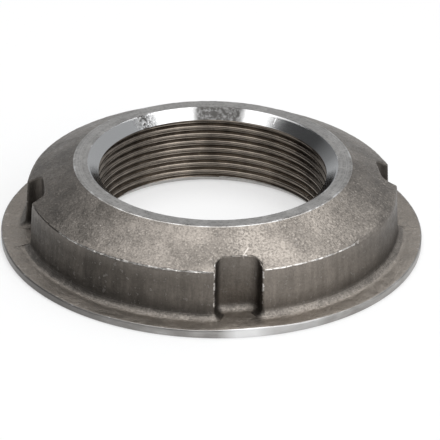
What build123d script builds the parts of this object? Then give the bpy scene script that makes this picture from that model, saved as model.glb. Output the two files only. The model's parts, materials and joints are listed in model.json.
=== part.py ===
"""Flanged round castle nut, M56 x 2: one forged and machined piece of steel.

Millimetres and degrees, +Z up. The origin is the centre of the seating face, on the
thread axis. The four drive slots lie on +X, +Y, -X and -Y.
"""

import os
from math import radians, tan

from build123d import *

# Thread: metric fine. The helix itself is finer than this solid, so the bore has the
# thread's minor diameter.
THREAD_DIAMETER = 56.0
THREAD_PITCH = 2.0
MINOR_LOSS_PER_PITCH = 1.0825

# Widths across one wall of the ring, from the thread out to the rim.
TOP_CHAMFER_LEAD = 1.5  # the upper chamfer's mouth, outside the thread
SEAT_CHAMFER_LEAD = 0.6  # the lower chamfer's mouth, outside the thread
FACE_WIDTH = 3.25
CONE_WIDTH = 10.95
BAND_TAPER = 0.6  # forging draft, as how much wider the band is at its foot
LEDGE_WIDTH = 5.7

# Heights, from the seating face up.
FLANGE_THICKNESS = 1.9
BAND_HEIGHT = 11.6
CONE_HEIGHT = 5.9

# Edges, and the chamfers' angles from the flat faces.
RIM_CHAMFER = 0.25
FOOT_RADIUS = 2.0
SHOULDER_RADIUS = 1.5
TOP_CHAMFER_ANGLE = 41.0
SEAT_CHAMFER_ANGLE = 45.0

# Drive slots: open outwards and upwards, down to the flange, and wider at the mouth.
SLOT_COUNT = 4
SLOT_MOUTH_WIDTH = 10.8
SLOT_DEPTH = 3.85
SLOT_FLARE = 8.0
SLOT_CORNER_EXTRA = 0.2  # over the foot's radius, which has to run round the corner

# Radii that follow from those widths.
thread_radius = THREAD_DIAMETER / 2
bore_radius = thread_radius - MINOR_LOSS_PER_PITCH * THREAD_PITCH / 2
seat_chamfer_radius = thread_radius + SEAT_CHAMFER_LEAD
top_chamfer_radius = thread_radius + TOP_CHAMFER_LEAD
face_radius = top_chamfer_radius + FACE_WIDTH
band_top_radius = face_radius + CONE_WIDTH
band_foot_radius = band_top_radius + BAND_TAPER
rim_radius = band_foot_radius + LEDGE_WIDTH

# Heights and depths that follow.
shoulder_height = FLANGE_THICKNESS + BAND_HEIGHT
height = shoulder_height + CONE_HEIGHT
top_chamfer_depth = (top_chamfer_radius - bore_radius) * tan(radians(TOP_CHAMFER_ANGLE))
seat_chamfer_depth = (seat_chamfer_radius - bore_radius) * tan(radians(SEAT_CHAMFER_ANGLE))


def turned_blank():
    """The piece before its slots: half its section, turned about the thread axis."""
    section = Polyline(
        (seat_chamfer_radius, 0),
        (rim_radius, 0),
        (rim_radius, FLANGE_THICKNESS - RIM_CHAMFER),
        (rim_radius - RIM_CHAMFER, FLANGE_THICKNESS),
        (band_foot_radius, FLANGE_THICKNESS),
        (band_top_radius, shoulder_height),
        (face_radius, height),
        (top_chamfer_radius, height),
        (bore_radius, height - top_chamfer_depth),
        (bore_radius, seat_chamfer_depth),
        close=True,
    )
    return revolve(make_face(Plane.XZ * section), Axis.Z)


def slot_cutter():
    """The space of the slot on +X: from its floor out past the foot of the band, and from
    the flange up through the cone, with round corners where its walls meet its floor."""
    half_floor = SLOT_MOUTH_WIDTH / 2 - SLOT_DEPTH * tan(radians(SLOT_FLARE))
    inner = band_top_radius - SLOT_DEPTH
    outer = band_foot_radius + FOOT_RADIUS
    half_outer = half_floor + (outer - inner) * tan(radians(SLOT_FLARE))
    plan = Polyline(
        (inner, -half_floor),
        (outer, -half_outer),
        (outer, half_outer),
        (inner, half_floor),
        close=True,
    )
    level = Plane.XY.offset(FLANGE_THICKNESS)
    cutter = extrude(make_face(level * plan), height)
    floor_corners = cutter.edges().filter_by(Axis.Z).group_by(Axis.X)[0]
    return fillet(floor_corners, FOOT_RADIUS + SLOT_CORNER_EXTRA)


def edges_at(shape, level):
    """The edges that lie flat at one height."""
    return shape.edges().filter_by_position(Axis.Z, level, level)


def castle_nut():
    """The slotted blank with its shoulder and its foot rounded. The foot's fillet is one
    loop: round the band, in at each slot's mouth and along the slot's walls and floor."""
    nut = turned_blank() - PolarLocations(0, SLOT_COUNT) * slot_cutter()
    nut = fillet(edges_at(nut, shoulder_height), SHOULDER_RADIUS)
    flange_edge_and_foot = edges_at(nut, FLANGE_THICKNESS).sort_by(SortBy.LENGTH)
    return fillet(flange_edge_and_foot[:-1], FOOT_RADIUS)


os.makedirs("parts", exist_ok=True)
export_step(castle_nut(), "parts/castle_nut.step")
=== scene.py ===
"""The looks of a flanged castle nut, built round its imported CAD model. Metres, +Z up.

The nut is one closed mesh. Each of its rings goes round the axis, and the rings follow the
section: out under the flange, up the rim, in to the band, up the band and the cone, over
the top face and down the upper chamfer. A helical grid down the bore closes it.
"""

from math import atan2, cos, pi, radians, sin, sqrt, tan

import json

import bpy
import numpy as np
from mathutils import Matrix, Vector


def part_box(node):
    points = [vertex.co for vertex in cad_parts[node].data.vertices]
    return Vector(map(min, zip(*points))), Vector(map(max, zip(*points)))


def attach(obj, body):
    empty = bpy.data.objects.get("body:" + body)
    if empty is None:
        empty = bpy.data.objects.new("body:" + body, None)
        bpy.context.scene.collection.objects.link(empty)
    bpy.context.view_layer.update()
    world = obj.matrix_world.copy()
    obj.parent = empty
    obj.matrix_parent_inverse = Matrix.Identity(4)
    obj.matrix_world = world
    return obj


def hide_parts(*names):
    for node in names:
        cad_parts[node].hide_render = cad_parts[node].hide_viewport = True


MM = 0.001

# Section of the nut, as in its CAD model.
FLANGE_THICKNESS = 1.9 * MM
RIM_EDGE = 0.25 * MM
FOOT_RADIUS = 2.0 * MM
BAND_TAPER = 0.6 * MM
LEDGE_WIDTH = 5.7 * MM
SHOULDER_HEIGHT = 13.5 * MM
CONE_WIDTH = 10.95 * MM
FACE_WIDTH = 3.25 * MM
THREAD_PITCH = 2.0 * MM
TOP_CHAMFER_ANGLE = radians(41)
SEAT_CHAMFER_LEAD = 0.6 * MM
TOP_CHAMFER_LEAD = 1.5 * MM

# Drive slots.
SLOT_COUNT = 4
SLOT_MOUTH_WIDTH = 10.8 * MM
SLOT_DEPTH = 3.85 * MM
SLOT_FLARE = radians(8)
SLOT_CORNER_RADIUS = 2.2 * MM
MOUTH_ROUND = 0.55 * MM
SLOT_EDGE = 0.4 * MM

# Edges: the shoulder is round as forged, and crisp where its flash was trimmed.
SHOULDER_EDGE = 1.5 * MM
CRISP_EDGE = 0.42 * MM
CRISP_FROM, CRISP_TO = radians(-170), radians(-48.5)
DARK_SEAM_TO = radians(-150)
FACE_EDGE = 0.2 * MM
CHAMFER_EDGE = 0.12 * MM
CHIP_DEPTH = 0.22 * MM
CORNER_CHIP_DEPTH = 0.4 * MM

# Rows kept close to an edge, so that it stays tight.
EDGE_GUARD = 0.12 * MM
FOOT_GUARD = 0.15 * MM

# Depths of what forging and wear left: ripples, with their sizes, then burrs and dents.
BROAD_RIPPLE, BROAD_RIPPLE_SIZE = 0.03 * MM, 9 * MM
FINE_RIPPLE, FINE_RIPPLE_SIZE = 0.014 * MM, 2.6 * MM
FLANGE_RIPPLE = 0.04 * MM
RIM_BURR = 0.03 * MM
FACE_DENT = 0.05 * MM

# The flange's rim is a little thicker or thinner here: azimuth, half width and lift.
FLANGE_SWELLS = [
    (radians(-136), radians(9), -0.3 * MM),
    (radians(-85), radians(9), 0.4 * MM),
]

# Numbers kept for each point beside its place.
MARKS = ["wear_and_painted_highlight", "painted_shade_and_seam", "relief"]

# Where the bore's coarser columns meet those of the outside, on the two chamfers.
CHAMFER_JOIN = 0.25 * MM

# Points closer than this are one point.
SAME_PLACE = 0.0001 * MM

# Where the cone has more bright grains, above the front slot: its middle and its reach.
BRIGHT_GRAIN_PATCH, BRIGHT_GRAIN_REACH = (3.5 * MM, -37.5 * MM, 16.8 * MM), 6 * MM

# Scratches: the middle, the directions along and across, and half the length and width.
CONE_SCRATCH = (
    (2.1 * MM, -38.9 * MM, 16 * MM),
    (0.56, 0.73, 0.39),
    (0.79, -0.61, 0),
    1.6 * MM,
    0.22 * MM,
)
CHAMFER_SCRATCH = (
    (18.3 * MM, 21.8 * MM, 18.4 * MM),
    (-0.55, -0.45, -0.7),
    (-0.77, 0.64, 0),
    1 * MM,
    0.2 * MM,
)

# Stretches of the ring: azimuth, half angle and the angle over which they fade, in degrees.
# Painted light and shade: the band, its flange and the cone are paler on these two stretches and
# darker off them.
LIT_BAND = (-74, 33, 52)
LIT_CONE = (-57, 58, 90)
# Painted shade on the rim's dark side.
RIM_PAINTED_SHADE = (-150, 28, 40)
DULL_CHAMFER = (79, 12, 4)
PITTED_CHAMFER = (118, 4, 6)
# Painted shade on the chamfer's right-hand stretch.
SHADED_CHAMFER = (22, 26, 12)

# The same for the painted highlights on the rim, each with how bright.
RIM_PAINTED_HIGHLIGHTS = [((-89, 5, 5), 0.85), ((-76, 9, 5), 0.3)]

# Heights over which painted shade darkens the band down to its foot, and painted light pales it up
# to its shoulder.
BAND_PAINTED_SHADE = (7 * MM, 3.9 * MM)
BAND_PAINTED_LIGHT = (10.5 * MM, 13.3 * MM)

# Radiance of the studio's walls, and the stretches of x and y over which it grows.
WALLS_DARK, WALLS_PALE = 0.14, 0.56
WALLS_GROW = [("X", -0.05, 0.35), ("Y", 0.6, 0.86)]

# Square lamps, aimed at the nut: name, width, place and radiance.
LAMPS = [
    ("overhead", 1.25, (0, 0.05, 1.0), 2.1),
    ("front_right", 0.9, (0.558, -0.86, 0.55), 1.45),
    ("front_left", 0.36, (-0.742, -0.708, 0.58), 1.1),
]

# Half the floor's width, and how far from the nut's middle it keeps a shadow.
FLOOR_REACH = 6.0
SHADOW_REACH = 0.16

# The camera: lens in millimetres, distance in radii of the rim, where it stands, and how it
# is turned off the straight aim.
CAMERA_LENS = 270.9
CAMERA_DISTANCE = 15.787
CAMERA_ELEVATION = radians(28.06)
CAMERA_AZIMUTH = radians(-8.55)
CAMERA_YAW, CAMERA_PITCH, CAMERA_ROLL = radians(-0.144), radians(0.247), radians(1.173)

# Numbers of columns in half a slot's share of the ring, and how the land's grow wider.
FLOOR_COLUMNS = 7
CORNER_COLUMNS = 9
WALL_COLUMNS = 6
MOUTH_COLUMNS = 5
LAND_COLUMNS = 68
LAND_EASE = 1.25


def sizes(frame):
    """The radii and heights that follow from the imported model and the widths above."""
    _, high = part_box("castle_nut")
    mounts = {mount["name"]: mount for mount in frame["record"]["mounts"]}
    size = {"rim": high.x, "height": high.z, "bore": mounts["thread"]["dims"]["r_mm"] * MM}
    size["foot"] = size["rim"] - LEDGE_WIDTH
    size["shoulder"] = size["foot"] - BAND_TAPER
    size["face"] = size["shoulder"] - CONE_WIDTH
    size["top_chamfer"] = size["face"] - FACE_WIDTH
    size["thread"] = size["top_chamfer"] - TOP_CHAMFER_LEAD
    size["seat_chamfer"] = size["thread"] + SEAT_CHAMFER_LEAD
    size["cone_slope"] = (size["height"] - SHOULDER_HEIGHT) / CONE_WIDTH
    return size


# ---------------------------------------------------------------- plan of the slots


def arc(centre, radius, start, end, count):
    angles = np.linspace(start, end, count)
    return centre + radius * np.stack([np.cos(angles), np.sin(angles)], 1)


def eased(count, power):
    """Numbers from 0 to 1, closer together at 0 as the power grows."""
    return np.linspace(0, 1, count) ** power


def half_outline(band_radius):
    """The plan of half a slot and half the land beside it, from the slot's centre line on
    +X, at the height where the band has this radius: points and normals into the metal."""
    floor_x = SIZE["shoulder"] - SLOT_DEPTH
    along = np.array([cos(SLOT_FLARE), sin(SLOT_FLARE)])
    inward = np.array([-sin(SLOT_FLARE), cos(SLOT_FLARE)])
    corner = np.array([floor_x, SLOT_MOUTH_WIDTH / 2 - SLOT_DEPTH * tan(SLOT_FLARE)])

    reach = SLOT_CORNER_RADIUS * (1 - sin(SLOT_FLARE)) / cos(SLOT_FLARE)
    corner_centre = corner + reach * along - SLOT_CORNER_RADIUS * inward

    start = corner + MOUTH_ROUND * inward
    dot = start @ along
    mouth_at = -dot + sqrt(dot**2 - start @ start + (band_radius - MOUTH_ROUND) ** 2)
    mouth_centre = start + mouth_at * along
    land_start = atan2(mouth_centre[1], mouth_centre[0])

    floor = np.linspace([floor_x, 0], [floor_x, corner_centre[1]], FLOOR_COLUMNS)
    bend = arc(corner_centre, SLOT_CORNER_RADIUS, pi, pi / 2 + SLOT_FLARE, CORNER_COLUMNS)
    wall = np.linspace(corner + reach * along, corner + mouth_at * along, WALL_COLUMNS)
    mouth = arc(mouth_centre, MOUTH_ROUND, SLOT_FLARE - pi / 2, land_start, MOUTH_COLUMNS)
    land_angles = land_start + (pi / SLOT_COUNT - land_start) * eased(LAND_COLUMNS, LAND_EASE)
    land = band_radius * np.stack([np.cos(land_angles), np.sin(land_angles)], 1)

    points = np.concatenate([floor[:-1], bend[:-1], wall[:-1], mouth[:-1], land])
    normals = np.concatenate(
        [
            np.tile([-1.0, 0.0], (FLOOR_COLUMNS - 1, 1)),
            (bend[:-1] - corner_centre) / SLOT_CORNER_RADIUS,
            np.tile(inward, (WALL_COLUMNS - 1, 1)),
            (mouth_centre - mouth[:-1]) / MOUTH_ROUND,
            -land / band_radius,
        ]
    )
    return points, normals


def whole_ring(*halves):
    """Half a slot's points, and normals, mirrored and turned into the whole ring."""
    mirror = np.array([1.0, -1.0])
    out = []
    for part in halves:
        one = np.concatenate([part[:0:-1] * mirror, part[:-1]])
        ring = []
        for k in range(SLOT_COUNT):
            turn = 2 * pi * k / SLOT_COUNT
            spin = np.array([[cos(turn), sin(turn)], [-sin(turn), cos(turn)]])
            ring.append(one @ spin)
        out.append(np.concatenate(ring))
    return out


# ---------------------------------------------------------------- rows of the section


def unit(vectors):
    return vectors / np.linalg.norm(vectors, axis=-1, keepdims=True)


def at_radius(azimuths, radius, height):
    """A level ring of the section, or one with a radius for each column."""
    return np.column_stack(
        [radius * np.cos(azimuths), radius * np.sin(azimuths), np.full(len(azimuths), height)]
    )


def cone_height(radius):
    return SHOULDER_HEIGHT + (SIZE["shoulder"] - radius) * SIZE["cone_slope"]


def spread(plan, other, share):
    """The plan's azimuths, moved by a share towards those of another ring of columns."""
    azimuths = np.arctan2(plan[:, 1], plan[:, 0])
    gap = np.angle(np.exp(1j * (other - azimuths)))
    return azimuths + share * gap


def even_azimuths(plan):
    """Azimuths in proportion to the length along a closed plan, from its first point."""
    steps = np.linalg.norm(np.roll(plan, -1, 0) - plan, axis=1)
    start = atan2(plan[0, 1], plan[0, 0])
    return start + 2 * pi * (np.cumsum(steps) - steps) / steps.sum()


def smooth(share):
    share = np.clip(share, 0, 1)
    return share * share * (3 - 2 * share)


def whole_columns(floor, corner, wall, mouth, land):
    """One number for each column of the ring, from those of half a slot and half a land."""
    counts = (FLOOR_COLUMNS, CORNER_COLUMNS, WALL_COLUMNS, MOUTH_COLUMNS)
    parts = [np.broadcast_to(v, n)[:-1] for v, n in zip((floor, corner, wall, mouth), counts)]
    half = np.concatenate([*parts, np.broadcast_to(land, LAND_COLUMNS)])
    return np.tile(np.concatenate([half[:0:-1], half[:-1]]), SLOT_COUNT)


def between(azimuths, start, end, fade):
    """1 between two azimuths and 0 outside them, with a soft change at both."""
    gap = np.abs(np.angle(np.exp(1j * (azimuths - (start + end) / 2))))
    return smooth(((end - start) / 2 - gap) / fade + 0.5)


def band_radius_at(height):
    share = (height - FLANGE_THICKNESS) / (SHOULDER_HEIGHT - FLANGE_THICKNESS)
    return SIZE["foot"] - BAND_TAPER * share


def outline_at(height):
    return whole_ring(*half_outline(band_radius_at(height)))


def under_rows():
    """From the lower chamfer's mouth out over the seating face to the rim."""
    radii = np.linspace(SIZE["seat_chamfer"], SIZE["rim"] - RIM_EDGE, 5)
    return [(radius, 0.0) for radius in radii]


def flange_lift(azimuths):
    """How much the flange's rim is thicker than its mean."""
    around = np.stack([np.cos(azimuths), np.sin(azimuths)], 1)
    lift = FLANGE_RIPPLE * waves(around, 0.5, seed=11)
    for place, half_width, height in FLANGE_SWELLS:
        gap = np.angle(np.exp(1j * (azimuths - place)))
        lift += height * np.exp(-((gap / half_width) ** 2))
    return lift


def rim_rows(azimuths):
    """Up the rim, between its two broken edges, the upper one nicked and burred."""
    around = SIZE["rim"] * np.stack([np.cos(azimuths), np.sin(azimuths)], 1)
    burr = np.clip(waves(around, 1.6 * MM, seed=12), -1, 1.5) * RIM_BURR + RIM_BURR
    lift = flange_lift(azimuths)
    rows = []
    for centre_height, start in ((RIM_EDGE, -pi / 2), (FLANGE_THICKNESS - RIM_EDGE, 0)):
        for angle in np.linspace(start, start + pi / 2, 4):
            upper = float(start == 0) * sin(angle)
            radius = SIZE["rim"] - RIM_EDGE + RIM_EDGE * cos(angle)
            height = centre_height + RIM_EDGE * sin(angle)
            row = at_radius(azimuths, radius - upper * burr, height)
            row[:, 2] += lift * height / FLANGE_THICKNESS
            rows.append(row)
    middle = [rows[3] + (rows[4] - rows[3]) * share for share in (1 / 3, 2 / 3)]
    return rows[:4] + middle + rows[4:]


def foot_rows(start):
    """From the rim in over the flange, and up the foot's fillet to the band."""
    plan, inward = outline_at(FLANGE_THICKNESS)
    level = np.full(len(plan), FLANGE_THICKNESS)
    near = np.column_stack([plan - (FOOT_RADIUS + FOOT_GUARD) * inward, level])
    rows = [start + (near - start) * share for share in np.linspace(0, 1, 6)[1:]]
    for angle in np.linspace(0, pi / 2, 9):
        height = FLANGE_THICKNESS + FOOT_RADIUS * (1 - cos(angle))
        out = FOOT_RADIUS * (1 - sin(angle))
        plan, inward = outline_at(height)
        rows.append(np.column_stack([plan - out * inward, np.full(len(plan), height)]))
    return rows


def edge_rows(radius, top_plan, inward, chips):
    """The rounded edge from the band, or a slot's side, over to the cone, chipped here
    and there by a depth for each column."""
    outward = unit(top_plan)
    slope = -SIZE["cone_slope"] * (inward * outward).sum(1)
    over = unit(np.column_stack([np.ones(len(slope)), slope]))
    down = np.tile([0.0, -1.0], (len(slope), 1))
    middle = unit(over + down)
    half_turn = np.arccos(np.clip((middle * over).sum(1), -1, 1))
    tangent = radius / np.tan(half_turn)
    centre = middle * (radius / np.sin(half_turn))[:, None]
    first = unit(down * tangent[:, None] - centre)
    last = unit(over * tangent[:, None] - centre)
    turn = np.arccos(np.clip((first * last).sum(1), -1, 1))[:, None]
    heights = cone_height(np.linalg.norm(top_plan, axis=1))
    rows = []
    for share in np.linspace(0, 1, 8):
        mix = (np.sin((1 - share) * turn) * first + np.sin(share * turn) * last) / np.sin(turn)
        step = centre + mix * radius[:, None] + middle * (chips * sin(pi * share))[:, None]
        rows.append(np.column_stack([top_plan + inward * step[:, :1], heights + step[:, 1]]))
    return rows


def band_rows(below, above):
    """Straight up from the foot's fillet to the rounded edge above."""
    gap = above - below
    guard = 1 - EDGE_GUARD / np.linalg.norm(gap, axis=1, keepdims=True)
    return [below + gap * share for share in np.linspace(0, 0.94, 8)[1:]] + [below + gap * guard]


def cone_rows(start, azimuths):
    """Up the cone, from the rounded edge to the edge of the top face."""
    top = SIZE["face"] + FACE_EDGE
    gap = (at_radius(azimuths, top, cone_height(top)) - start)[:, :2]
    guard = EDGE_GUARD / np.linalg.norm(gap, axis=1, keepdims=True)
    rows = []
    for share in [guard, *np.linspace(0.045, 1, 17)]:
        plan = start[:, :2] + gap * share
        rows.append(np.column_stack([plan, cone_height(np.linalg.norm(plan, axis=1))]))
    return rows


def face_rows():
    """Over the edge of the top face and across it."""
    height, face, mouth = SIZE["height"], SIZE["face"], SIZE["top_chamfer"]
    rows = [(face + FACE_EDGE * 0.35, height - FACE_EDGE * 0.14), (face - FACE_EDGE * 0.7, height)]
    rows += [(radius, height) for radius in np.linspace(face - 0.5 * MM, mouth + 0.4 * MM, 4)]
    return rows + [(mouth + CHAMFER_EDGE * 0.7, height)]


def chamfer_rows():
    """Down the upper chamfer, to where the bore's coarser columns begin."""
    height, mouth = SIZE["height"], SIZE["top_chamfer"]
    rows = [(mouth + CHAMFER_EDGE * 0.1, height - CHAMFER_EDGE * 0.2)]
    for radius in np.linspace(mouth - CHAMFER_EDGE * 0.7, SIZE["bore"] + CHAMFER_JOIN, 7):
        rows.append((radius, height - (mouth - radius) * tan(TOP_CHAMFER_ANGLE)))
    return rows


# ---------------------------------------------------------------- the thread


def thread_section():
    """One pitch of the thread, from the middle of a crest: heights in pitches, and depths
    into the wall as shares of the thread's whole depth."""
    half = [(0.07, 0.015), (0.13, 0.08), (0.19, 0.25), (0.29, 0.56), (0.4, 0.9)]
    return [(0, 0.0), *half, (0.5, 1.0), *[(1 - place, depth) for place, depth in half[::-1]]]


def thread_grid(azimuths, low, high):
    """The bore's wall between two heights: columns down the first axis. Its rows follow
    the right-hand helix, and those beyond an end lie on that end. Also which of its points
    the lower chamfer cuts."""
    section = np.array(thread_section())
    turns = int((high - low) / THREAD_PITCH) + 3
    phases = np.concatenate([section[:, 0] + k for k in range(turns)]) - 1
    depths = np.tile(section[:, 1], turns)
    heights = low + (phases[None, :] + azimuths[:, None] / (2 * pi)) * THREAD_PITCH
    thread_depth = SIZE["thread"] - SIZE["bore"]
    radii = SIZE["bore"] + np.broadcast_to(depths, heights.shape) * thread_depth
    heights = np.clip(heights, low, high)
    lower = SIZE["seat_chamfer"] - heights
    radii = np.where(heights == high, SIZE["bore"], np.maximum(radii, lower))
    place = np.stack([radii * np.cos(azimuths)[:, None], radii * np.sin(azimuths)[:, None]], 2)
    return np.concatenate([place, heights[:, :, None]], 2), radii == lower


# ---------------------------------------------------------------- the whole mesh


def waves(points, size, seed, count=28):
    """Smooth random ripples of about this size, with a mean square of one."""
    rng = np.random.default_rng(seed)
    directions = unit(rng.normal(size=(count, points.shape[1])))
    lengths = size * rng.uniform(0.7, 1.5, count)
    offsets = rng.uniform(0, 2 * pi, count)
    angles = points @ (directions * (2 * pi / lengths)[:, None]).T + offsets
    return np.sin(angles).sum(1) * sqrt(2 / count)


def ring(zone, points, wear_and_painted_highlight=0.0, painted_shade_and_seam=0.0, relief=0.0):
    """One ring of the grid: the zone that it starts, and its points with their marks."""
    marks = [np.broadcast_to(mark, len(points)) for mark in (wear_and_painted_highlight, painted_shade_and_seam, relief)]
    return zone, np.column_stack([points, *marks])


def slot_painted_shade():
    """How much painted shade each column gets on a slot's sides, and at its foot."""
    going_out = np.linspace(1, 0, MOUTH_COLUMNS)
    painted_side_shade = whole_columns(0.34, np.linspace(0.34, 1, CORNER_COLUMNS), 1, going_out, 0)
    foot = whole_columns(0, np.linspace(0, 1, CORNER_COLUMNS), 1, going_out, 0)
    return painted_side_shade, foot


def mouth_wear_and_highlight(crisp):
    """How much wear and painted highlight each column gets at a slot's mouth, more so where the
    shoulder is trimmed.
    """
    in_mouth = whole_columns(0, 0, 0, [0.2, 1, 1, 1, 0.2], 0)
    return in_mouth * (0.08 + 0.42 * crisp)


def chip_depths(plan, crisp):
    """How deep the shoulder's edge is chipped at each column."""
    jagged = np.clip(waves(plan, 1.5 * MM, seed=21) - 0.5, 0, 1.5)
    depths = CHIP_DEPTH * jagged * (0.15 + 0.85 * crisp)
    gap = np.angle(np.exp(1j * (np.arctan2(plan[:, 1], plan[:, 0]) - CRISP_TO)))
    return depths + CORNER_CHIP_DEPTH * np.exp(-((gap / radians(1.0)) ** 2))


def flange_rings(rim_azimuths, top_azimuths, foot):
    """From the lower chamfer under the flange, up its rim and in to the foot of the band."""
    join = SIZE["thread"] + CHAMFER_JOIN
    rings = [ring("seat", at_radius(top_azimuths, join, SIZE["seat_chamfer"] - join))]
    under = under_rows()
    for k, (radius, height) in enumerate(under):
        azimuths = spread(at_radius(top_azimuths, 1, 0), rim_azimuths, k / (len(under) - 1))
        rings.append(ring("seat", at_radius(azimuths, radius, height)))

    rim = rim_rows(rim_azimuths)
    # Wear and painted highlight on the rim's upper edge.
    rings += [ring("rim", row, wear_and_painted_highlight=0.12 * (k > 6)) for k, row in enumerate(rim[1:], 1)]
    flange = foot_rows(rim[-1])
    rings += [ring("flange", row, relief=min(k, 3) / 3) for k, row in enumerate(flange[:5])]
    # Painted shade at the foot of the slots.
    rings += [ring("flange", row, painted_shade_and_seam=foot, relief=1) for row in flange[5:]]
    return rings, flange[-1]


def band_rings(foot_row, top_azimuths, painted_side_shade):
    """Up the band and the slots' sides, over the shoulder's edge and up the cone."""
    top_plan, inward = outline_at(SHOULDER_HEIGHT)
    here = np.arctan2(top_plan[:, 1], top_plan[:, 0])
    crisp = between(here, CRISP_FROM, CRISP_TO, radians(4))
    # Wear and painted highlight at the slots' mouths.
    mouth = mouth_wear_and_highlight(crisp)
    straight = whole_columns(0, 0, 0, 0, smooth(eased(LAND_COLUMNS, LAND_EASE) / 0.1))
    on_land = SHOULDER_EDGE + (CRISP_EDGE - SHOULDER_EDGE) * crisp
    radius = SLOT_EDGE + (on_land - SLOT_EDGE) * straight
    edge = edge_rows(radius, top_plan, inward, chip_depths(top_plan, crisp))
    rings = []
    for k, row in enumerate(band_rows(foot_row, edge[0])):
        # Painted shade on the slots' sides.
        shade = painted_side_shade * min(1, 0.5 + k / 4)
        rings.append(ring("band", row, wear_and_painted_highlight=mouth, painted_shade_and_seam=shade, relief=1))

    # A darker seam at one end of the trimmed edge.
    seam = between(here, CRISP_FROM, DARK_SEAM_TO, radians(5)) * straight
    in_slot = 1 - whole_columns(0, 0, 0, 0, 1)
    # Wear and painted highlight on the trimmed edge, less inside the slots.
    edge_wear_and_highlight = ((crisp - seam) * (1 - 0.6 * in_slot)).clip(0, 1)
    for k, row in enumerate(edge):
        inside = sin(pi * k / (len(edge) - 1)) ** 0.5
        rings.append(ring("edge", row, wear_and_painted_highlight=edge_wear_and_highlight * inside, painted_shade_and_seam=seam * inside, relief=0.5))
    cone = cone_rows(edge[-1], top_azimuths)
    for k, row in enumerate(cone):
        rings.append(ring("cone", row, relief=min(1, (len(cone) - 1 - k) / 3)))
    return rings


def top_rings(azimuths):
    """Over the top face and down the upper chamfer."""
    around = at_radius(azimuths, SIZE["face"], 0)
    dent = np.clip(waves(around, 2.5 * MM, seed=31), 0, 2)[:, None] * [[0, 0, -FACE_DENT]]
    face = [at_radius(azimuths, *row) for row in face_rows()]
    # Wear and painted highlight along the top face's edges.
    rings = [ring("face", face[0] + dent, wear_and_painted_highlight=0.55)]
    rings.append(ring("face", face[1] + dent * 0.4, wear_and_painted_highlight=0.35))
    rings += [ring("face", row) for row in face[2:-1]]
    rings.append(ring("face", face[-1], wear_and_painted_highlight=0.5))
    return rings + [ring("chamfer", at_radius(azimuths, *row)) for row in chamfer_rows()]


def outer_rings():
    """Every ring of the outside, from the lower chamfer round to the upper one."""
    plan, _ = outline_at(FLANGE_THICKNESS)
    rim_azimuths = spread(plan, even_azimuths(plan), 0.25)
    top_plan, _ = outline_at(SHOULDER_HEIGHT)
    azimuths = even_azimuths(top_plan)
    painted_side_shade, foot = slot_painted_shade()
    rings, foot_row = flange_rings(rim_azimuths, azimuths, foot)
    rings += band_rings(foot_row, azimuths, painted_side_shade)
    return rings + top_rings(azimuths), azimuths


def ring_faces(count, columns):
    """The quads between rings of a grid that closes on itself along its columns."""
    c = np.arange(columns)
    after = (c + 1) % columns
    faces = [
        np.stack([row + c, row + after, row + columns + after, row + columns + c], 1)
        for row in range(0, (count - 1) * columns, columns)
    ]
    return np.concatenate(faces)


def join_faces(fine_start, fine_count, coarse, fine_first):
    """Triangles and quads from a ring to one with half its columns."""
    faces = []
    for k in range(fine_count // 2):
        a, b, c = (fine_start + (2 * k + i) % fine_count for i in range(3))
        p, q = coarse[k], coarse[k + 1]
        made = [(a, b, p, p), (b, c, q, p)]
        faces += made if fine_first else [face[::-1] for face in made]
    return np.array(faces)


def nut_mesh():
    """The whole closed surface: its points with their marks, its faces and their zones."""
    rings, azimuths = outer_rings()
    columns = len(azimuths)
    points = np.concatenate([row for _, row in rings])
    faces = ring_faces(len(rings), columns)
    zones = np.repeat([zone for zone, _ in rings[1:]], columns)

    every_other = np.append(azimuths[::2], azimuths[0] + 2 * pi)
    high = SIZE["height"] - (SIZE["top_chamfer"] - SIZE["bore"]) * tan(TOP_CHAMFER_ANGLE)
    bore, cut = thread_grid(every_other, SEAT_CHAMFER_LEAD, high)
    across, along = bore.shape[:2]
    index = len(points) + np.arange(across * along).reshape(across, along)
    plain = np.zeros((across * along, len(MARKS)))
    points = np.concatenate([points, np.column_stack([bore.reshape(-1, 3), plain])])
    corners = [(slice(1, None), slice(0, -1)), (slice(0, -1), slice(0, -1))]
    corners += [(slice(0, -1), slice(1, None)), (slice(1, None), slice(1, None))]
    wall = np.stack([index[corner] for corner in corners], 2).reshape(-1, 4)
    wall_cut = np.stack([cut[corner] for corner in corners], 2).reshape(-1, 4)
    wall_zones = np.where(wall_cut.any(1), "seat", "thread")

    top_join = join_faces((len(rings) - 1) * columns, columns, index[:, -1], True)
    seat_join = join_faces(0, columns, index[:, 0], False)
    faces = np.concatenate([faces, wall, top_join, seat_join])
    joins = [np.repeat(["chamfer"], len(top_join)), np.repeat(["seat"], len(seat_join))]
    return merged(points, faces, np.concatenate([zones, wall_zones, *joins]))


def merged(points, faces, zones):
    """The same surface with points in one place made one, and faces of no area gone."""
    keys = np.round(points[:, :3] / SAME_PLACE).astype(np.int64)
    _, first, place = np.unique(keys, axis=0, return_index=True, return_inverse=True)
    place = place.reshape(-1)
    kept_faces, kept_zones = [], []
    for face, zone in zip(place[faces].tolist(), zones):
        corners = [p for k, p in enumerate(face) if p != face[k - 1]]
        if len(set(corners)) > 2 and len(set(corners)) == len(corners):
            kept_faces.append(corners)
            kept_zones.append(zone)
    used = np.unique(np.concatenate([np.array(face) for face in kept_faces]))
    renumber = np.full(len(first), -1)
    renumber[used] = np.arange(len(used))
    kept_faces = [[int(renumber[p]) for p in face] for face in kept_faces]
    return points[first][used], kept_faces, kept_zones


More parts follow.
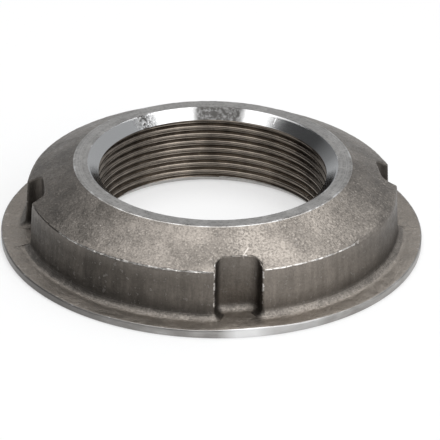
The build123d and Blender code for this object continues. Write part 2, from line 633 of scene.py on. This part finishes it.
def forged_relief(points):
    """How far each point of the forged skin stands out of its plain form."""
    broad = BROAD_RIPPLE * waves(points, BROAD_RIPPLE_SIZE, seed=41)
    fine = FINE_RIPPLE * waves(points, FINE_RIPPLE_SIZE, seed=42, count=40)
    return broad + fine


def sharpen_between(mesh, one, other):
    """Make the edges sharp where faces of two materials meet."""
    kinds = {}
    for face in mesh.polygons:
        for key in face.edge_keys:
            kinds.setdefault(key, set()).add(face.material_index)
    for edge in mesh.edges:
        edge.use_edge_sharp = kinds[edge.key] == {one, other}


def dressed_nut():
    """The nut as one object, with a material for each zone."""
    points, faces, zones = nut_mesh()
    places, marks = points[:, :3], dict(zip(MARKS, points[:, 3:].T))
    mesh = bpy.data.meshes.new("castle_nut_dressed")
    mesh.from_pydata(places.tolist(), [], faces)
    normals = np.empty(places.size)
    mesh.vertices.foreach_get("normal", normals)
    places = places + normals.reshape(-1, 3) * (forged_relief(places) * marks["relief"])[:, None]
    mesh.vertices.foreach_set("co", places.ravel())
    for name in ("wear_and_painted_highlight", "painted_shade_and_seam"):
        mesh.attributes.new(name, "FLOAT", "POINT").data.foreach_set("value", marks[name])

    makers = [forged_steel, turned_steel, rim_steel, chamfer_steel, thread_steel]
    for maker in makers:
        mesh.materials.append(maker())
    finish = {"flange": forged_steel, "band": forged_steel, "edge": forged_steel}
    finish.update({"cone": forged_steel, "seat": turned_steel, "face": turned_steel})
    finish.update({"rim": rim_steel, "chamfer": chamfer_steel, "thread": thread_steel})
    slots = {zone: makers.index(maker) for zone, maker in finish.items()}
    mesh.polygons.foreach_set("material_index", [slots[zone] for zone in zones])
    mesh.polygons.foreach_set("use_smooth", [True] * len(mesh.polygons))
    sharpen_between(mesh, slots["chamfer"], slots["thread"])
    mesh.update()
    nut = bpy.data.objects.new("castle_nut_dressed", mesh)
    bpy.context.scene.collection.objects.link(nut)
    return nut


# ---------------------------------------------------------------- materials


class Nodes:
    """A material's node tree, built by short calls that return the socket they make."""

    def __init__(self, name):
        self.material = bpy.data.materials.new(name)
        self.material.use_nodes = True
        self.tree = self.material.node_tree
        self.shader = self.tree.nodes["Principled BSDF"]
        self.place = self.add("ShaderNodeTexCoord").outputs["Object"]

    def add(self, kind, inputs=(), **settings):
        node = self.tree.nodes.new(kind)
        for key, value in settings.items():
            setattr(node, key, value)
        for key, value in dict(inputs).items():
            self.feed(node.inputs[key], value)
        return node

    def feed(self, socket, value):
        if isinstance(value, bpy.types.NodeSocket):
            self.tree.links.new(value, socket)
        else:
            socket.default_value = value

    def math(self, operation, a, b=0.0):
        return self.add("ShaderNodeMath", {0: a, 1: b}, operation=operation).outputs[0]

    def times(self, a, b):
        return self.math("MULTIPLY", a, b)

    def plus(self, a, b):
        return self.math("ADD", a, b)

    def noise(self, size, detail=3.0, roughness=0.5, place=None):
        """Noise with features of about this size, in metres."""
        inputs = {"Vector": place or self.place, "Scale": 1 / size, "Detail": detail}
        inputs["Roughness"] = roughness
        return self.add("ShaderNodeTexNoise", inputs).outputs["Fac"]

    def map(self, value, low, high, to_low=0.0, to_high=1.0):
        inputs = {"Value": value, "From Min": low, "From Max": high}
        inputs.update({"To Min": to_low, "To Max": to_high})
        return self.add("ShaderNodeMapRange", inputs).outputs["Result"]

    def mix(self, share, a, b):
        node = self.add("ShaderNodeMix", {"Factor": share}, data_type="RGBA")
        self.feed(node.inputs[6], a)
        self.feed(node.inputs[7], b)
        return node.outputs[2]

    def mark(self, name):
        return self.add("ShaderNodeAttribute", attribute_name=name).outputs["Fac"]

    def split(self, vector):
        return self.add("ShaderNodeSeparateXYZ", {"Vector": vector}).outputs[:]

    def dot(self, vector, other):
        inputs = {0: vector, 1: other}
        return self.add("ShaderNodeVectorMath", inputs, operation="DOT_PRODUCT").outputs["Value"]

    def away_from(self, point):
        inputs = {0: self.place, 1: point}
        return self.add("ShaderNodeVectorMath", inputs, operation="SUBTRACT").outputs["Vector"]

    def stretched(self, x, y, z):
        inputs = {0: self.place, 1: (x, y, z)}
        return self.add("ShaderNodeVectorMath", inputs, operation="MULTIPLY").outputs["Vector"]

    def spot(self, point, radius, most=1.0):
        """The most at a point, falling to 0 at this distance from it."""
        inputs = {0: self.place, 1: point}
        distance = self.add("ShaderNodeVectorMath", inputs, operation="DISTANCE").outputs["Value"]
        return self.map(distance, radius * 0.4, radius, most, 0)

    def scratch(self, point, along, across, half_length, half_width):
        """1 on a short straight stroke and 0 off it."""
        gap = self.away_from(point)
        off_middle = self.math("ABSOLUTE", self.dot(gap, along))
        off_line = self.math("ABSOLUTE", self.dot(gap, across))
        length = self.map(off_middle, half_length * 0.7, half_length, 1, 0)
        width = self.map(off_line, half_width * 0.3, half_width, 1, 0)
        return self.times(length, width)

    def facing(self, azimuth, half_angle, fade):
        """1 on the part of the ring round this azimuth, fading to 0 over an angle."""
        azimuth, half_angle, fade = radians(azimuth), radians(half_angle), radians(fade)
        inputs = {0: self.stretched(1, 1, 0)}
        flat = self.add("ShaderNodeVectorMath", inputs, operation="NORMALIZE")
        cosine = self.dot(flat.outputs["Vector"], (cos(azimuth), sin(azimuth), 0))
        angle = self.math("ARCCOSINE", self.math("MINIMUM", cosine, 1.0))
        return self.map(angle, half_angle + fade / 2, half_angle - fade / 2)

    def blend(self, pattern, one, other, spread=0.15):
        """From one tone to another where a noise passes its middle."""
        return self.mix(self.map(pattern, 0.5 - spread, 0.5 + spread), one, other)

    def bump(self, height, distance):
        inputs = {"Height": height, "Distance": distance}
        return self.add("ShaderNodeBump", inputs).outputs["Normal"]

    def finish(self, color, roughness, normal=None, metallic=1.0):
        self.feed(self.shader.inputs["Base Color"], color)
        self.feed(self.shader.inputs["Roughness"], roughness)
        self.feed(self.shader.inputs["Metallic"], metallic)
        if normal:
            self.feed(self.shader.inputs["Normal"], normal)
        return self.material


def steel(level, warmth=0.0):
    """A grey of this level, made warmer by a share."""
    return (level * (1 + warmth), level, level * (1 - warmth), 1)


def forged_tone(n, upright, level, lit_cone):
    """The forged skin before its grain: painted light makes it paler where lit, painted shade
    darkens the band, and the band is streaked.
    """
    blotch = n.noise(7 * MM, 4)
    streak = n.noise(1.3 * MM, 3, 0.6, n.stretched(1, 1, 0.12))
    lit_band = n.facing(*LIT_BAND)
    # Painted light and shade: the cone is paler on its lit stretch, darker behind.
    back = n.blend(blotch, steel(0.12, 0.1), steel(0.19, 0.1))
    cone = n.mix(lit_cone, back, n.blend(blotch, steel(0.2, 0.11), steel(0.33, 0.11)))

    # Painted light and shade: the band is paler at its lit front, darker at its sides.
    side = n.blend(streak, steel(0.045, 0.13), steel(0.08, 0.13), 0.18)
    front = n.blend(streak, steel(0.17, 0.13), steel(0.23, 0.13), 0.18)
    band = n.mix(lit_band, side, front)
    height = n.split(n.place)[2]
    # Painted shade towards the band's foot, painted light towards its shoulder.
    band = n.mix(n.map(height, *BAND_PAINTED_SHADE, 0, 0.45), band, steel(0.05, 0.1))
    band = n.mix(n.map(height, *BAND_PAINTED_LIGHT, 0, 0.2), band, steel(0.36, 0.1))

    # Painted light: the flange is paler on the band's lit stretch.
    flange = n.mix(lit_band, steel(0.34, 0.12), steel(0.46, 0.12))
    return n.mix(n.times(level, 0.6), n.mix(upright, cone, band), flange)


def forged_grain(n, tone, plain, grain, fleck, lit_cone):
    """A tone with dark pits and bright grains, both weaker where the skin is plain; the bright
    grains are stronger where the cone has painted light.
    """
    pits = n.times(n.map(grain, 0.5, 0.36, 0, 0.5), n.map(plain, 0, 1, 1, 0.5))
    tone = n.mix(pits, tone, steel(0.09, 0.1))
    lit = n.plus(grain, n.spot(BRIGHT_GRAIN_PATCH, BRIGHT_GRAIN_REACH, 0.12))
    bright = n.times(n.map(lit, 0.53, 0.68), n.map(fleck, 0.42, 0.6, 0.2, 0.75))
    # Bright grains are stronger on the cone's stretch of painted light.
    bright = n.times(bright, n.map(lit_cone, 0, 1, 0.35, 1))
    return n.mix(n.times(bright, n.map(plain, 0, 1, 1, 0.12)), tone, steel(0.5, 0.1))


def forged_steel():
    """Forging scale, blasted: fine bright grains and dark pits on warm grey, painted shade in
    the slots and a dark seam, wear and painted highlights on edges, and one scratch."""
    n = Nodes("forged_steel")
    wear_and_painted_highlight, painted_shade_and_seam = n.mark("wear_and_painted_highlight"), n.mark("painted_shade_and_seam")
    normal = n.add("ShaderNodeNewGeometry").outputs["True Normal"]
    steepness = n.math("ABSOLUTE", n.split(normal)[2])
    upright, level = n.map(steepness, 0.3, 0.6, 1, 0), n.map(steepness, 0.9, 0.97)
    plain = n.math("MAXIMUM", upright, n.math("MAXIMUM", level, painted_shade_and_seam))
    grain, fleck = n.noise(0.5 * MM, 3, 0.65), n.noise(1.2 * MM, 3, 0.65)
    lit_cone = n.facing(*LIT_CONE)

    tone = forged_tone(n, upright, level, lit_cone)
    tone = forged_grain(n, tone, plain, grain, fleck, lit_cone)
    # Painted shade in the slots, and a darker seam on the shoulder's edge.
    tone = n.mix(n.times(painted_shade_and_seam, 0.75), tone, steel(0.04, 0.12))
    # Wear and painted highlight on rubbed edges.
    rubbed_and_highlit = n.map(n.plus(wear_and_painted_highlight, n.map(fleck, 0.35, 0.65, -0.45, 0.45)), 0.4, 0.85)
    tone = n.mix(rubbed_and_highlit, tone, steel(0.7, 0.04))
    tone = n.mix(n.scratch(*CONE_SCRATCH), tone, steel(0.5, 0.08))

    roughness = n.mix(rubbed_and_highlit, n.map(fleck, 0.35, 0.65, 0.38, 0.55), (0.3, 0.3, 0.3, 1))
    height = n.plus(n.times(grain, 0.5), fleck)
    return n.finish(tone, roughness, n.bump(height, 0.12 * MM))


def tool_rings(n, size):
    """Fine grooves round the axis, as a turning tool leaves."""
    x, y, z = n.split(n.place)
    radius = n.math("SQRT", n.plus(n.times(x, x), n.times(y, y)))
    across = n.add("ShaderNodeCombineXYZ", {"X": radius, "Y": z}).outputs[0]
    return n.noise(size, 2, 0.6, across)


def turned_steel():
    """Turned steel, cool grey, with faint tool rings and small rust-grey blotches."""
    n = Nodes("turned_steel")
    groove = tool_rings(n, 0.35 * MM)
    blotch = n.noise(3.5 * MM, 4, 0.6)
    grain = n.noise(0.6 * MM, 3, 0.6)
    tone = n.blend(blotch, steel(0.33, 0.05), steel(0.48, 0.04))
    tone = n.mix(n.map(grain, 0.5, 0.34, 0, 0.8), tone, steel(0.2, 0.04))
    tone = n.mix(n.map(groove, 0.4, 0.65, 0, 0.5), tone, steel(0.6, 0.02))
    # Wear and painted highlight on the face's worn edges.
    rubbed_and_highlit = n.map(n.plus(n.mark("wear_and_painted_highlight"), n.map(blotch, 0.35, 0.65, -0.4, 0.4)), 0.4, 0.9)
    tone = n.mix(rubbed_and_highlit, tone, steel(0.7))
    height = n.plus(groove, n.times(grain, 0.6))
    return n.finish(tone, n.map(blotch, 0.3, 0.7, 0.26, 0.38), n.bump(height, 0.03 * MM))


def rim_steel():
    """The flange's turned rim: painted shade on one side, painted highlights at the front."""
    n = Nodes("rim_steel")
    blotch = n.noise(2.2 * MM, 4, 0.6, n.stretched(0.35, 0.35, 1))
    groove = tool_rings(n, 0.25 * MM)
    tone = n.blend(blotch, steel(0.26, 0.04), steel(0.42, 0.03))
    # Painted shade on one side of the rim.
    tone = n.mix(n.times(n.facing(*RIM_PAINTED_SHADE), 0.75), tone, steel(0.09, 0.06))
    # Painted highlights on the front of the rim.
    for stretch, share in RIM_PAINTED_HIGHLIGHTS:
        tone = n.mix(n.times(n.facing(*stretch), share), tone, steel(0.85))
    # Wear and painted highlight on the rim's upper edge.
    rubbed_and_highlit = n.map(n.plus(n.mark("wear_and_painted_highlight"), n.map(blotch, 0.35, 0.65, -0.5, 0.5)), 0.4, 0.9)
    tone = n.mix(n.times(rubbed_and_highlit, 0.7), tone, steel(0.75))
    return n.finish(tone, n.map(blotch, 0.3, 0.7, 0.3, 0.5), n.bump(groove, 0.03 * MM))


def chamfer_steel():
    """The bore's bright chamfer, with painted shade that makes it greyer to the right, a dull
    pitted patch, a few more pits to its left and a scratch."""
    n = Nodes("chamfer_steel")
    groove = tool_rings(n, 0.25 * MM)
    pit = n.noise(1.0 * MM, 3, 0.7)
    patch = n.times(n.facing(*DULL_CHAMFER), n.map(pit, 0.34, 0.56, 0.66, 1.0))
    spots = n.times(n.facing(*PITTED_CHAMFER), n.map(pit, 0.42, 0.55))
    dull = n.math("MAXIMUM", patch, spots)
    # Painted shade: the chamfer is greyer on this stretch.
    tone = n.mix(n.facing(*SHADED_CHAMFER), steel(0.56), steel(0.3))
    tone = n.mix(dull, tone, steel(0.08, 0.04))
    tone = n.mix(n.scratch(*CHAMFER_SCRATCH), tone, steel(0.9))
    height = n.plus(groove, n.times(n.times(dull, pit), 4.5))
    return n.finish(tone, n.map(dull, 0, 1, 0.16, 0.5), n.bump(height, 0.012 * MM))


def thread_steel():
    """Oily thread, olive brown."""
    n = Nodes("thread_steel")
    blotch = n.noise(4 * MM, 4, 0.6, n.stretched(1, 1, 0.4))
    tone = n.blend(blotch, steel(0.14, 0.15), steel(0.24, 0.15))
    return n.finish(tone, n.map(blotch, 0.3, 0.7, 0.16, 0.25))


# ---------------------------------------------------------------- light, floor, camera


def softbox(name, size, place, radiance):
    """A square lamp, aimed at the nut, whose face has this radiance."""
    lamp = bpy.data.lights.new(name, "AREA")
    lamp.shape = "SQUARE"
    lamp.size = size
    lamp.energy = radiance * pi * size * size
    box = bpy.data.objects.new(name, lamp)
    bpy.context.scene.collection.objects.link(box)
    box.location = place
    box.rotation_euler = (-Vector(place)).to_track_quat("-Z", "Y").to_euler()


def studio_walls():
    """The room round the nut: pale behind it and to its right, dark to its left and front."""
    world = bpy.data.worlds.new("studio")
    world.use_nodes = True
    tree = world.node_tree
    place = tree.nodes.new("ShaderNodeTexCoord").outputs["Generated"]
    split = tree.nodes.new("ShaderNodeSeparateXYZ")
    tree.links.new(place, split.inputs[0])
    shares = []
    for axis, low, high in WALLS_GROW:
        share = tree.nodes.new("ShaderNodeMapRange")
        tree.links.new(split.outputs[axis], share.inputs["Value"])
        share.inputs["From Min"].default_value = low
        share.inputs["From Max"].default_value = high
        shares.append(share.outputs["Result"])
    lighter = tree.nodes.new("ShaderNodeMath")
    lighter.operation = "MAXIMUM"
    for share, socket in zip(shares, lighter.inputs):
        tree.links.new(share, socket)
    strength = tree.nodes.new("ShaderNodeMapRange")
    tree.links.new(lighter.outputs[0], strength.inputs["Value"])
    strength.inputs["To Min"].default_value = WALLS_DARK
    strength.inputs["To Max"].default_value = WALLS_PALE
    background = tree.nodes["Background"]
    background.inputs["Color"].default_value = (0.96, 0.98, 1.0, 1)
    tree.links.new(strength.outputs["Result"], background.inputs["Strength"])
    bpy.context.scene.world = world


def floor_white():
    """White as seen and as mirrored, half so beside the nut, where its shadow stays."""
    n = Nodes("floor_white")
    n.finish(steel(0.92), 0.9, metallic=0.0)
    rays = n.add("ShaderNodeLightPath").outputs
    seen = n.math("MAXIMUM", rays["Is Camera Ray"], rays["Is Glossy Ray"])
    beside = n.spot((0, 0, 0), SHADOW_REACH, 0.5)
    share = n.times(seen, n.math("SUBTRACT", 1.0, beside))
    white = n.add("ShaderNodeEmission", {"Color": (1, 1, 1, 1), "Strength": 1.0}).outputs[0]
    both = n.add("ShaderNodeMixShader", {0: share, 1: n.shader.outputs[0], 2: white})
    n.tree.links.new(both.outputs[0], n.tree.nodes["Material Output"].inputs["Surface"])
    return n.material


def studio_floor():
    floor_mesh = bpy.data.meshes.new("floor")
    turns = [(-1, -1), (1, -1), (1, 1), (-1, 1)]
    corners = [(x * FLOOR_REACH, y * FLOOR_REACH, 0) for x, y in turns]
    floor_mesh.from_pydata(corners, [], [(0, 1, 2, 3)])
    floor = bpy.data.objects.new("floor", floor_mesh)
    bpy.context.scene.collection.objects.link(floor)
    floor_mesh.materials.append(floor_white())


def studio():
    studio_walls()
    for lamp in LAMPS:
        softbox(*lamp)
    studio_floor()


def camera():
    """A long lens from above the front, a little to the left of one slot."""
    data = bpy.data.cameras.new("camera")
    data.sensor_width = 36
    data.lens = CAMERA_LENS
    cam = bpy.data.objects.new("camera", data)
    bpy.context.scene.collection.objects.link(cam)
    up = Vector((0, sin(CAMERA_ELEVATION), cos(CAMERA_ELEVATION)))
    back = Vector((0, -cos(CAMERA_ELEVATION), sin(CAMERA_ELEVATION)))
    aimed = Matrix((Vector((1, 0, 0)), up, back)).transposed()
    nudge = Matrix.Rotation(CAMERA_YAW, 3, "Y") @ Matrix.Rotation(CAMERA_PITCH, 3, "X")
    nudge = nudge @ Matrix.Rotation(CAMERA_ROLL, 3, "Z")
    turn = Matrix.Rotation(CAMERA_AZIMUTH, 3, "Z")
    cam.matrix_world = (turn @ aimed @ nudge).to_4x4()
    cam.location = turn @ (back * CAMERA_DISTANCE * SIZE["rim"])
    data.clip_start, data.clip_end = 0.05, 50
    bpy.context.scene.camera = cam


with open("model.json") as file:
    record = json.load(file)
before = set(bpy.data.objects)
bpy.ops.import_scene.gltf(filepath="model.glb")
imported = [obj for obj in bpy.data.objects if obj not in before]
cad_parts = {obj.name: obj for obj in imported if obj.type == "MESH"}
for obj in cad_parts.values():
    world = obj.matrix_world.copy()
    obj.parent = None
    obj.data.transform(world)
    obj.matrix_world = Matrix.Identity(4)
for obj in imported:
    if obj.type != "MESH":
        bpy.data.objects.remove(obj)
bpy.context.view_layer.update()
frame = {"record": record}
SIZE = sizes(frame)

nut = dressed_nut()
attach(nut, "root")
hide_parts("castle_nut")

studio()
camera()
bpy.context.scene.view_settings.view_transform = "Standard"
